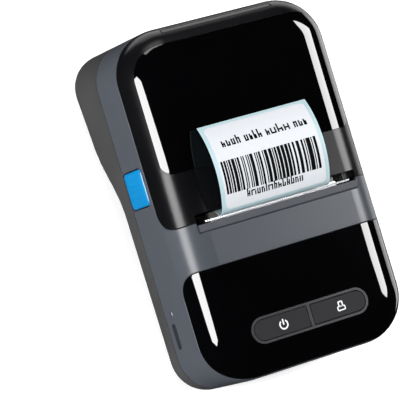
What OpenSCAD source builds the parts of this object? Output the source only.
// Portable thermal label printer: a hand-sized case with a hinged roll cover,
// a direct-thermal print head, a geared platen and a self-centring roll bay.
// The case is drawn with its top face level, then laid back by rest_tilt so
// that the roll bulge and the front feet stand on one plane.

/* [Case] */
// Width of the case
body_w = 80; // [76:1:84]
// Length of the case
body_l = 126; // [124:1:132]
// Depth of the case under the label roll
rear_depth = 56; // [55:0.5:60]
// Angle between the top face and the table
rest_tilt = 7; // [5:0.5:8]
// Corner radius seen from above
corner_r = 17; // [15:1:18]
// Radius of the rolled top edge
edge_r = 12; // [11:1:13]
// Radius of the lower edges
base_r = 9; // [7:1:10]
// Wall thickness of the mouldings
wall = 2.2; // [1.8:0.1:2.6]

/* [Label stock] */
// Width of the label liner
liner_w = 43; // [38:1:44]
// Radius of a full label roll
roll_r = 17; // [14:0.5:17.5]
// Outer radius of the cardboard core
core_r = 8; // [7.5:0.5:10]
// Travel of each roll guide
guide_travel = 5; // [2:0.5:5]

/* [Hidden] */
$fn = 48;
gap = 0.25;                    // shut line between two mouldings
fit = 0.06;                    // radial running clearance of a shaft
foot_h = 1;                    // rubber foot below the case
foot_r = 4;
button_proud = 0.6;            // how far the release button stands out
light_r = 0.8;                 // light pipe

ref_y = 38;                    // rear_depth is measured here
seam_z = -13;                  // cover to case
tone_z = -31.2;                // upper to lower case half
band_y = [-22.1, -5.6];        // cross band between panel and cover
hinge = [58, -8];              // y and z of the cover hinge
hinge_clear_r = 5.6;           // the cover's rear edge turns inside this
rear_seam_z = -9.9;            // cover to case behind the hinge
pin_r = 1.25;                  // hinge pins
ear_r = 3.1;                   // case ears that hold the pins
// the arm leaves the ear forwards, out of the way of the cover's rear edge
ear_arm = [for (p = [[-5.5, 0], [-2.6, 0], [-2.2, -2.2], [-4.3, -4.3], [-3.6, -6.3], [2.95, -6.3], [2.95, -10],
  [-5.5, -10]]) hinge + p];
window_y = [12.3, 56.4];
window_w = 74.6;
slot_x = [-32, 32.1];          // label exit
slot_y = [-5.6, -3];
button_y = [5, 18];            // release button, along the side
button_z = [-30.5, -15.5];
socket_lo = [-46, -27.6];      // charging socket in the side wall, y and z
socket_hi = [-36.6, -24.4];
light_at = [-33.2, -25];       // status light beside it
pill = [-1.1, -47.3];          // centre of the key bezel
pill_size = [46.6, 9.4];
pill_rim = 0.9;

latch_axis = [-33, -22];       // x and z of the latch lever's pivot
latch_y = [8, 15];             // length of the lever along its pin
platen = [1.2, -10.5];         // y and z of the platen axis
platen_r = 4.5;
shaft_r = 1.5;
bush_r = 3.02;
roll = [33, -27];              // y and z of the roll axis
bay_r = 18.5;                  // inside of the roll bay
core_wall = 1.3;               // cardboard core
guide_pinion_r = 4;            // pitch radius below the bay
rack_z = -51;                  // underside of the guide racks

gear_m = 0.5;                  // module of the drive train
gear_x = [30.5, 33];           // plane of the platen, idler and small gear
big_gear_x = [27, 29.4];       // plane of the pinion and the large gear
teeth_platen = 24;
teeth_idler = 20;
teeth_small = 14;
teeth_large = 32;
teeth_motor = 10;
post_r = 1;                    // posts of the idler and reduction gears
idler_dir = -87.5;             // direction from platen to idler
reduction_dir = 194;           // direction from idler to reduction gear
motor_dir = 200;               // direction from reduction gear to motor

function pitch_r(teeth) = teeth * gear_m / 2;
function step(from, dist, dir) = [from[0] + dist * cos(dir), from[1] + dist * sin(dir)];
idler = step(platen, pitch_r(teeth_platen) + pitch_r(teeth_idler), idler_dir);
reduction = step(idler, pitch_r(teeth_idler) + pitch_r(teeth_small), reduction_dir);
motor_axis = step(reduction, pitch_r(teeth_large) + pitch_r(teeth_motor), motor_dir);

// phase of a gear that meshes with one whose phase is known
function mesh_phase(phase, teeth, next_teeth, dir) =
  dir + 180 - 360 / next_teeth * (0.5 - (dir - phase) * teeth / 360);
idler_phase = mesh_phase(0, teeth_platen, teeth_idler, idler_dir);
small_phase = mesh_phase(idler_phase, teeth_idler, teeth_small, reduction_dir);
motor_phase = mesh_phase(small_phase, teeth_large, teeth_motor, motor_dir);

// place of the level case in the standing frame
rise = foot_h - (ref_y * sin(rest_tilt) - rear_depth * cos(rest_tilt));
front_reach = (body_l / 2 - edge_r) * cos(rest_tilt) - edge_r * sin(rest_tilt) + edge_r;
ball_y = body_l / 2 - base_r;  // centres of the lower-edge balls
rear_reach = ball_y * cos(rest_tilt) - ball_z(ball_y) * sin(rest_tilt) + base_r;
shift_y = (front_reach - rear_reach) / 2;

// height of a lower-edge ball centre that just touches the rest plane
function ball_z(y) = (base_r + foot_h - rise - y * sin(rest_tilt)) / cos(rest_tilt);

module place() translate([button_proud / 2, shift_y, rise]) rotate([rest_tilt, 0, 0]) children();

// ---------------------------------------------------------------- helpers

function arc(c, r, a0, a1, n = 8) = [for (i = [0:n]) c + r * [cos(a0 + (a1 - a0) * i / n), sin(a0 + (a1 - a0) * i / n)]];

function round_rect(lo, hi, r) = concat(
  arc([lo[0] + r, lo[1] + r], r, 180, 270), arc([hi[0] - r, lo[1] + r], r, 270, 360),
  arc([hi[0] - r, hi[1] - r], r, 0, 90), arc([lo[0] + r, hi[1] - r], r, 90, 180));

// extrudes an outline drawn in y and z along x
module across(x0, x1) translate([x0, 0, 0]) rotate([90, 0, 90]) linear_extrude(x1 - x0) children();

module x_rod(p, r, x0, x1) translate([x0, p[0], p[1]]) rotate([0, 90, 0]) cylinder(r = r, h = x1 - x0);

module span(lo, hi) translate(lo) cube(hi - lo);

module both_sides() {
  children();
  mirror([1, 0, 0]) children();
}

// the case's outer form, set in by g
module case_form(g = 0) {
  x_in = body_w / 2 - corner_r;
  y_in = body_l / 2 - corner_r;
  ball_x = body_w / 2 - base_r;
  module rim(y) for (s = [-1, 1]) translate([s * x_in, y, -edge_r]) rotate_extrude($fn = 36) intersection() {
    translate([corner_r - edge_r, 0]) circle(r = edge_r - g, $fn = 24);
    translate([0, -edge_r]) square(2 * edge_r + corner_r);
  }
  module ball(y, z) for (s = [-1, 1]) translate([s * ball_x, y, z]) sphere(r = base_r - g, $fn = 24);
  hull() {
    rim(y_in);
    rim(-y_in);
    ball(-ball_y, ball_z(-ball_y));
    ball(20, ball_z(-ball_y) - 1.5);
  }
  hull() {
    rim(y_in);
    ball(ball_y, ball_z(ball_y));
    ball(30, ball_z(30));
    ball(8, ball_z(-ball_y) - 1);
  }
}

module case_shell(t) difference() {
  case_form();
  case_form(t);
}

// everything that opens; behind the hinge its edge is a cylinder about the hinge axis
module lid_zone(g = 0) {
  difference() {
    across(-60, 60) polygon(round_rect([band_y[1] - g, seam_z - g], [body_l, 20], 8 + g));
    span([-60, hinge[0], -30], [60, 80, rear_seam_z - g]);
  }
  x_rod(hinge, hinge_clear_r - gap + g, -60, 60);
}

// the panel runs down the front wall, its lower edge rising towards the front
module panel_zone(g = 0) across(-60, 60) polygon(concat(
  arc([-52, 7.7], 18.7 + g, 180, 270), arc([band_y[0] - 8, -3], 8 + g, 270, 360),
  [[band_y[0] + g, 20], [-70.7 - g, 20]]));

module window_zone(g = 0) translate([0, 0, -20]) linear_extrude(40)
  polygon(concat(
    arc([-window_w / 2 + 4, window_y[0] + 4], 4 + g, 180, 270), arc([window_w / 2 - 4, window_y[0] + 4], 4 + g, 270, 360),
    arc([window_w / 2 - 11, window_y[1] - 11], 11 + g, 0, 90), arc([-window_w / 2 + 11, window_y[1] - 11], 11 + g, 90, 180)));

key_stem_x = 11.5;             // from the pill's centre to a key's stem
module pill_shape(size, h) linear_extrude(h) {
  square([size[0] - size[1], size[1]], center = true);
  for (s = [-1, 1]) translate([s * (size[0] - size[1]) / 2, 0]) circle(d = size[1]);
}

// involute spur gear lying in y and z, from x0 to x1
function involute(rb, r) = sqrt(r * r / (rb * rb) - 1) * 180 / PI - acos(rb / r);
module gear(p, teeth, x0, x1, phase, bore) {
  rp = pitch_r(teeth);
  ra = rp + gear_m * 0.9;
  rf = rp - gear_m * 1.2;
  rb = rp * cos(20);
  half = 90 / teeth - 0.055 / rp * 180 / PI;   // half tooth at the pitch line, less backlash
  flank = [for (i = [0:4]) max(rb, rf) + (ra - max(rb, rf)) * i / 4];
  function at(r, a) = r * [cos(a), sin(a)];
  function off(r) = half + involute(rb, rp) - involute(rb, max(r, rb));
  tooth = [for (k = [0:teeth - 1]) each let (a = phase + 360 * k / teeth) concat(
    [at(rf, a - off(rb) - 1.5)], [for (r = flank) at(r, a - off(r))],
    [for (i = [4:-1:0]) at(flank[i], a + off(flank[i]))], [at(rf, a + off(rb) + 1.5)])];
  difference() {
    translate([0, p[0], p[1]]) across(x0, x1) polygon(tooth);
    x_rod(p, bore, x0 - 1, x1 + 1);
  }
}

// closed rings that stand for the turns of a coil spring along x
module spring_rings(r, wire, pitch, turns) for (i = [0:turns - 1])
  translate([i * pitch, 0, 0]) rotate([0, 90, 0]) rotate_extrude($fn = 32) translate([r, 0]) circle(r = wire, $fn = 16);

// ---------------------------------------------------------------- case

module screw_posts() for (s = [-1, 1], y = [-53, 50]) translate([s * 31.5, y, 0]) children();

// posts with a rib that ties each one to the side wall
module ribbed_posts(z, h) intersection() {
  case_form(0.5);
  for (s = [-1, 1], y = [-53, 50]) translate([s * 31.5, y, z]) {
    cylinder(r = 3.2, h = h);
    translate([s * 4 - 3.8, -0.8, 0]) cube([7.6, 1.6, h]);
  }
}

module lower_housing() color("#3c4046") difference() {
  place() difference() {
    union() {
      case_shell(wall);
      ribbed_posts(-60, 60 + tone_z);
    }
    span([-60, -80, tone_z], [60, 80, 20]);
    screw_posts() {
      translate([0, 0, -60]) cylinder(r = 1.55, h = 60);
      translate([0, 0, -60]) cylinder(r = 2.9, h = 60 - 41);
    }
  }
  // shallow seats for the feet
  foot_places() cylinder(r = foot_r + 0.05, h = foot_h + 0.55);
}

module upper_housing() color("#565b63") place() {
  difference() {
    case_shell(wall);
    span([-60, -80, -80], [60, 80, tone_z + 0.15]);
    lid_zone(gap);
    panel_zone(gap);
    // mouth of the release button
    span([-45, button_y[0] - gap, button_z[0] - gap], [-35, button_y[1] + gap, button_z[1] + gap]);
    // charging socket, status light and label exit
    across(-45, -35) polygon(round_rect(socket_lo, socket_hi, 1.5));
    x_rod(light_at, light_r + 0.1, -45, -35);
    span([slot_x[0], -9.6, -0.8], [slot_x[1], -5, 5]);
    span([slot_x[0], -7, -5], [slot_x[1], -5, 5]);
  }
  // bosses that take the case screws
  difference() {
    ribbed_posts(tone_z + 0.15, 12);
    screw_posts() translate([0, 0, tone_z]) cylinder(r = 1.25, h = 10);
  }
  // hinge ears on the rear wall
  both_sides() difference() {
    union() {
      x_rod(hinge, ear_r, 25, 28);
      across(25, 28) polygon(ear_arm);
    }
    x_rod(hinge, pin_r, 24, 29);
  }
}

module front_panel() color("#0b0b0d") place() difference() {
  intersection() {
    case_shell(1.8);
    panel_zone();
  }
  translate([pill[0], pill[1], -10]) pill_shape(pill_size + [0.2, 0.2], 20);
}

module button_bezel() color("#6b6e73") place() translate([pill[0], pill[1], -2.4]) difference() {
  pill_shape(pill_size, 2.8);
  translate([0, 0, -1]) difference() {
    pill_shape(pill_size - 2 * [pill_rim, pill_rim], 5);
    translate([-0.6, -10, 0]) cube([1.2, 20, 5]);
  }
}

// one half of the pill, with a stem that reaches its switch
module key_cap() intersection() {
  union() {
    translate([0, 0, -1.6]) pill_shape(pill_size - 2 * [pill_rim + 0.2, pill_rim + 0.2], 2);
    translate([key_stem_x, 0, -5.9]) cylinder(r = 1.6, h = 4.5);
  }
  translate([0.8, -10, -10]) cube([40, 20, 20]);
}

module power_button() color("#3a3b3f") place() translate([pill[0], pill[1], 0]) mirror([1, 0, 0]) key_cap();

module feed_button() color("#3a3b3f") place() translate([pill[0], pill[1], 0]) key_cap();

module foot_places() for (x = [-24, 24], y = [-47, 34])
  translate([x + button_proud / 2, y + shift_y, 0]) children();

module rubber_feet() color("#1b1b1c") foot_places() cylinder(r = foot_r, h = foot_h + 0.5);

module housing_screws() color("silver") place() screw_posts() {
  translate([0, 0, -43]) cylinder(r = 2.6, h = 1.9);
  translate([0, 0, -42]) cylinder(r = 1.2, h = 20);
}

// ---------------------------------------------------------------- cover

module lid_cover() color("#15161a") place() difference() {
  intersection() {
    case_shell(wall);
    lid_zone();
  }
  // glossy window skin is let in
  intersection() {
    difference() {
      case_form(-2);
      case_form(1.3);
    }
    window_zone(0.1);
  }
  // label exit
  span([slot_x[0], slot_y[0] - 1, -20], [slot_x[1], slot_y[1], 5]);
  // pockets for the hinge
  both_sides() x_rod(hinge, ear_r + 0.3, 11, 28.4);
  // notches that let the rear edge swing past the ears and the spring leg
  both_sides() span([24.6, hinge[0], -20], [28.4, 70, rear_seam_z]);
  span([12.3, hinge[0], -20], [13.8, 70, rear_seam_z]);
}

module lid_window() color("#070708") place() intersection() {
  case_shell(1.2);
  window_zone();
}

// inner frame that carries the platen and turns on the hinge pins
module lid_frame() color("#26282c") place() {
  span([-29, 2, -4.2], [29, 52, -2.6]);
  // platen cheeks
  both_sides() difference() {
    union() {
      span([26.4, platen[0] - 4, platen[1]], [28.6, platen[0] + 8, -2.6]);
      x_rod(platen, 4, 26.4, 28.6);
    }
    x_rod(platen, bush_r + 0.03, 25, 30);
  }
  // guard above the platen gear, seen through the label exit
  span([28.4, slot_y[0] + 0.2, -3.9], [32.2, 5, -3.3]);
  // hinge knuckles
  both_sides() difference() {
    union() {
      x_rod(hinge, 2.9, 21, 24.6);
      across(21, 24.6) polygon([[49, -4.2], [49, -2.8], [56.3, -5.5], [58, -7], [56, -9.5]]);
    }
    x_rod(hinge, pin_r + fit, 20, 26);
  }
  // catch for the latch lever
  difference() {
    span([-30.9, latch_y[0], -17], [-29, latch_y[1], -2.6]);
    span([-31.5, latch_y[0] - 1, -15.2], [-30, latch_y[1] + 1, -12.6]);
  }
}

module hinge_pins() color("silver") place() both_sides() x_rod(hinge, pin_r, 19.5, 28);

module lid_spring() color("silver") place() {
  translate([13, hinge[0], hinge[1]]) spring_rings(2, 0.35, 0.72, 8);
  across(12.7, 13.4) polygon([for (p = [[-2.7, 0], [-2, 0], [-5, -6], [-5, -12], [-5.7, -12], [-5.7, -5.8]]) hinge + p]);
}

// ---------------------------------------------------------------- latch

module release_button() color("#1f8fe0") place() {
  across(-body_w / 2 - button_proud, -body_w / 2 + 2)
    polygon(round_rect([button_y[0], button_z[0]], [button_y[1], button_z[1]], 1.5));
  // pusher that meets the lower end of the latch lever
  span([-38.2, latch_y[0], -29.6], [-35.1, latch_y[1], -26.6]);
}

// sits beside the lever, between the button and the end of the latch pin
module release_spring() color("silver") place() translate([-37.7, 16.5, latch_axis[1]]) spring_rings(1.1, 0.2, 0.55, 7);

// rod along y on the latch axis
module latch_rod(r, y0, y1) translate([latch_axis[0], y0, latch_axis[1]]) rotate([-90, 0, 0])
  cylinder(r = r, h = y1 - y0);

module latch_lever() color("#d8d8d2") place() difference() {
  union() {
    span([-34.2, latch_y[0], -30], [-32.2, latch_y[1], -13.2]);
    span([-34.2, latch_y[0], -14.8], [-31.1, latch_y[1], -13.2]);
    latch_rod(2.2, latch_y[0], latch_y[1]);
  }
  latch_rod(1 + fit, latch_y[0] - 1, latch_y[1] + 1);
}

module latch_pin() color("silver") place() latch_rod(1, 4, 19);

// ---------------------------------------------------------------- print mechanism

module platen_shaft() color("silver") place() x_rod(platen, shaft_r, -30, 33.4);

module platen_rubber() color("#2a2a2c") place() difference() {
  x_rod(platen, platen_r, -25, 25);
  x_rod(platen, shaft_r + 0.01, -26, 26);
}

module platen_bushes() color("#e6dcc0") place() both_sides() difference() {
  union() {
    x_rod(platen, bush_r, 26.1, 29.2);
    x_rod(platen, 3.8, 25.3, 26.2);
  }
  x_rod(platen, shaft_r + fit, 24, 30);
}

module platen_gear() color("#efefe8") place() gear(platen, teeth_platen, gear_x[0], gear_x[1], 0, shaft_r + 0.01);

module idler_gear() color("#efefe8") place() gear(idler, teeth_idler, gear_x[0], gear_x[1], idler_phase, post_r + fit);

module reduction_gear() color("#efefe8") place() {
  gear(reduction, teeth_small, gear_x[0] - 1.2, gear_x[1], small_phase, post_r + fit);
  gear(reduction, teeth_large, big_gear_x[0], big_gear_x[1], small_phase, post_r + fit);
}

module motor_pinion() color("#c9a24a") place()
  gear(motor_axis, teeth_motor, big_gear_x[0], big_gear_x[1], motor_phase, 0.76);

module motor() color("silver") place() {
  x_rod(motor_axis, 7.5, 4, 22);
  x_rod(motor_axis, 3, 22, 23.8);
  x_rod(motor_axis, 0.75, 23, 29.8);
}

head_pivot = [-7, -19.5];      // y and z

module print_head() color("#d9d2c4") place() span([-25, -5.1, -17], [25, -3.6, -4]);

module head_heatsink() color("#a9adb2") place() difference() {
  union() {
    span([-25.5, -7.6, -18.5], [25.5, -5.15, -4]);
    x_rod(head_pivot, 2, -25.5, 25.5);
  }
  x_rod(head_pivot, 1 + fit, -27, 27);
}

module head_pivot_pin() color("silver") place() x_rod(head_pivot, 1, -28.4, 26.4);

module head_springs() color("silver") place() for (x = [-14, 14]) translate([x, -10.95, -8.5])
  rotate([0, 0, 90]) spring_rings(2.2, 0.3, 0.66, 5);

module tear_bar() color("#d6d9dc") place() span([-28.5, -6.3, -3.6], [29.3, -5.75, -0.25]);

module chassis() color("#8d9299") place() difference() {
  union() {
    span([-30, -12.6, -33], [26.3, -11.4, -4]);
    span([-30, -12.6, -34.2], [26.3, 6, -33]);
    // ears for the head pivot
    span([-28.4, -11.5, -33.5], [-26.2, -4.8, -16.5]);
    span([25.6, -12.6, -33.5], [26.4, -4.8, -16.5]);
    // plate that holds the motor and plate that holds the gear posts
    span([24, -26, -36], [25.2, -11.4, -16.2]);
    span([34, -17, -34.2], [35.2, 6, -16]);
    span([25, -17, -35.4], [35.2, 6, -34.2]);
  }
  x_rod(head_pivot, 1, -30, 27);
  x_rod(motor_axis, 8, 3, 23.9);
  x_rod(motor_axis, 3.05, 20, 25.5);
  x_rod(idler, post_r, 30, 40);
  x_rod(reduction, post_r, 30, 40);
}

module gear_posts() color("silver") place() {
  x_rod(idler, post_r, 30, 35.2);
  x_rod(reduction, post_r, 26.7, 35.2);
}

module gap_sensor() color("#202226") place() translate([0, 5, -26.2]) rotate([-48, 0, 0])
  span([6, -3, -1.5], [13, 3, 1.5]);

module head_ribbon() color("#c77a2a") place() {
  span([-16, -10.8, -18.2], [6, -10.6, -13.6]);
  span([-16, -10.6, -13.8], [6, -7.8, -13.6]);
}

// ---------------------------------------------------------------- roll bay

module paper_bay() color("#33363b") place() difference() {
  union() {
    difference() {
      x_rod(roll, bay_r + 1.5, -27, 27);
      x_rod(roll, bay_r, -32, 32);
      across(-33, 33) polygon(concat([roll], arc(roll, 60, -18, 180 + 62, 10)));
    }
    span([-27, 18, -46.6], [27, 27, -45.2]);
  }
  // slots for the guide arms
  both_sides() span([liner_w / 2 - 2.5, roll[0] - 3, -52], [liner_w / 2 + 5.5 + guide_travel, roll[0] + 3, -40]);
}

// right-hand guide: cheek disc and hub, arm through the bay floor, rack below it
module roll_guide(rack_side) {
  inner = liner_w / 2 + 0.4;
  outer = liner_w / 2 + 2;
  x_rod(roll, 13.5, inner, outer);
  x_rod(roll, core_r - core_wall - 0.1, inner - 3.4, outer - 1);
  span([inner, roll[0] - 2.5, rack_z + 2], [outer, roll[0] + 2.5, -38]);
  translate([0, roll[0], 0]) mirror([0, rack_side > 0 ? 0 : 1, 0])
    span([-9, guide_pinion_r - 0.2, rack_z], [outer, guide_pinion_r + 2.6, rack_z + 2]);
  span([outer - 4, roll[0] - 6.6, rack_z], [outer, roll[0] + 6.6, rack_z + 2.4]);
}

module right_roll_guide() color("#2b2d31") place() roll_guide(1);

module left_roll_guide() color("#2b2d31") place() mirror([1, 0, 0]) roll_guide(-1);

module guide_pinion() color("#efefe8") place() translate([0, roll[0], rack_z]) difference() {
  cylinder(r = guide_pinion_r - 0.3, h = 1.9);
  translate([0, 0, -1]) cylinder(r = 1.2 + fit, h = 4);
}

module pinion_screw() color("silver") place() translate([0, roll[0], rack_z]) {
  translate([0, 0, -1.4]) cylinder(r = 1.2, h = 4.2);
  translate([0, 0, 2.1]) cylinder(r = 2.2, h = 0.7);
}

module label_core() color("#b89468") place() difference() {
  x_rod(roll, core_r, -liner_w / 2, liner_w / 2);
  x_rod(roll, core_r - core_wall, -liner_w, liner_w);
}

module label_roll() color("#cfe6ee") place() difference() {
  x_rod(roll, roll_r, -liner_w / 2, liner_w / 2);
  x_rod(roll, core_r + 0.02, -liner_w, liner_w);
}

// a strip of paper along a path in y and z
web_t = 0.16;
strip_x = -1.3;                // the strip runs a little left of the centre
module across_strip(half) translate([strip_x, 0, 0]) across(-half, half) children();
function offset_path(path, t) = concat(path, [for (i = [len(path) - 1:-1:0])
  let (a = path[max(i - 1, 0)], b = path[min(i + 1, len(path) - 1)], d = (b - a) / norm(b - a)) path[i] + t * [-d[1], d[0]]]);

web_gap = platen_r + 0.1;
web_dir = 222;                 // where the web touches roll and platen
exit_pt = [-5.3, -0.85];       // where the strip passes the tear bar
web_path = concat([roll + (roll_r + 0.15) * [cos(web_dir), sin(web_dir)]],
  arc(platen, web_gap, web_dir, 182, 6), [[platen[0] - web_gap, -3.7], exit_pt + [0.1, -0.2]]);

module label_web() color("#e8f2f5") place() across_strip(liner_w / 2) polygon(offset_path(web_path, web_t));

// the printed label leaves the slot, leans back and comes down over the window
curl_r = [3.6, 26];            // a tight bend at the slot, then a slack bow
curl_start = 207;
curl_turn = 122;
curl_end = 54;
curl_c1 = exit_pt - curl_r[0] * [cos(curl_start), sin(curl_start)];
curl_c2 = curl_c1 + (curl_r[0] - curl_r[1]) * [cos(curl_turn), sin(curl_turn)];
curl_path = concat(arc(curl_c1, curl_r[0], curl_start, curl_turn + 10, 5),
  arc(curl_c2, curl_r[1], curl_turn, curl_end, 14));

module label_liner() color("#bfe3ee") place() across_strip(liner_w / 2)
  polygon(offset_path(curl_path, -web_t));

module label_face() color("white") place() across_strip(20)
  polygon(offset_path([for (i = [6:len(curl_path) - 2]) curl_path[i] + [-0.01, 0.02]], web_t - 0.02));

// ---------------------------------------------------------------- electronics

module main_board() color("#1f6b3a") place() difference() {
  span([-36, -49, -29.6], [22, -27, -28]);
  for (x = [-26, 16]) translate([x, -46, -40]) cylinder(r = 1.3, h = 20);
}

module board_screws() color("silver") place() for (x = [-26, 16]) translate([x, -46, 0]) {
  translate([0, 0, -31]) cylinder(r = 1.2, h = 3.2);
  translate([0, 0, -27.95]) cylinder(r = 2.2, h = 1.4);
}

module key_board() color("#1f6b3a") place() span([-28, -56, -11.4], [28, -34, -10]);

module tact_switches() color("#c9ccd0") place() for (s = [-1, 1]) translate([pill[0] + s * key_stem_x, pill[1], -10]) {
  translate([-3, -3, 0]) cube([6, 6, 2.2]);
  cylinder(r = 1.5, h = 3.4);
}

module usb_port() color("#b9bcc0") place() difference() {
  across(-37.7, -31) polygon(round_rect(socket_lo + [0.1, 0.1], socket_hi - [0.1, 0.1], 1.4));
  across(-39, -32) polygon(round_rect(socket_lo + [0.6, 0.5], socket_hi - [0.6, 0.5], 1));
}

module status_light() color("#dfe8ea") place() x_rod(light_at, light_r, -39.6, -34);

module battery() color("#3a5f8f") place() across(-24, 24) polygon(round_rect([-56, -41], [-30, -31.5], 2));

lower_housing();
upper_housing();
front_panel();
button_bezel();
power_button();
feed_button();
lid_cover();
lid_window();
lid_frame();
hinge_pins();
lid_spring();
release_button();
release_spring();
latch_lever();
latch_pin();
platen_shaft();
platen_rubber();
platen_bushes();
platen_gear();
print_head();
head_heatsink();
head_springs();
head_pivot_pin();
chassis();
gear_posts();
motor();
motor_pinion();
reduction_gear();
idler_gear();
tear_bar();
paper_bay();
left_roll_guide();
right_roll_guide();
guide_pinion();
pinion_screw();
label_core();
label_roll();
label_web();
label_liner();
label_face();
main_board();
key_board();
tact_switches();
usb_port();
battery();
gap_sensor();
head_ribbon();
status_light();
rubber_feet();
housing_screws();
board_screws();
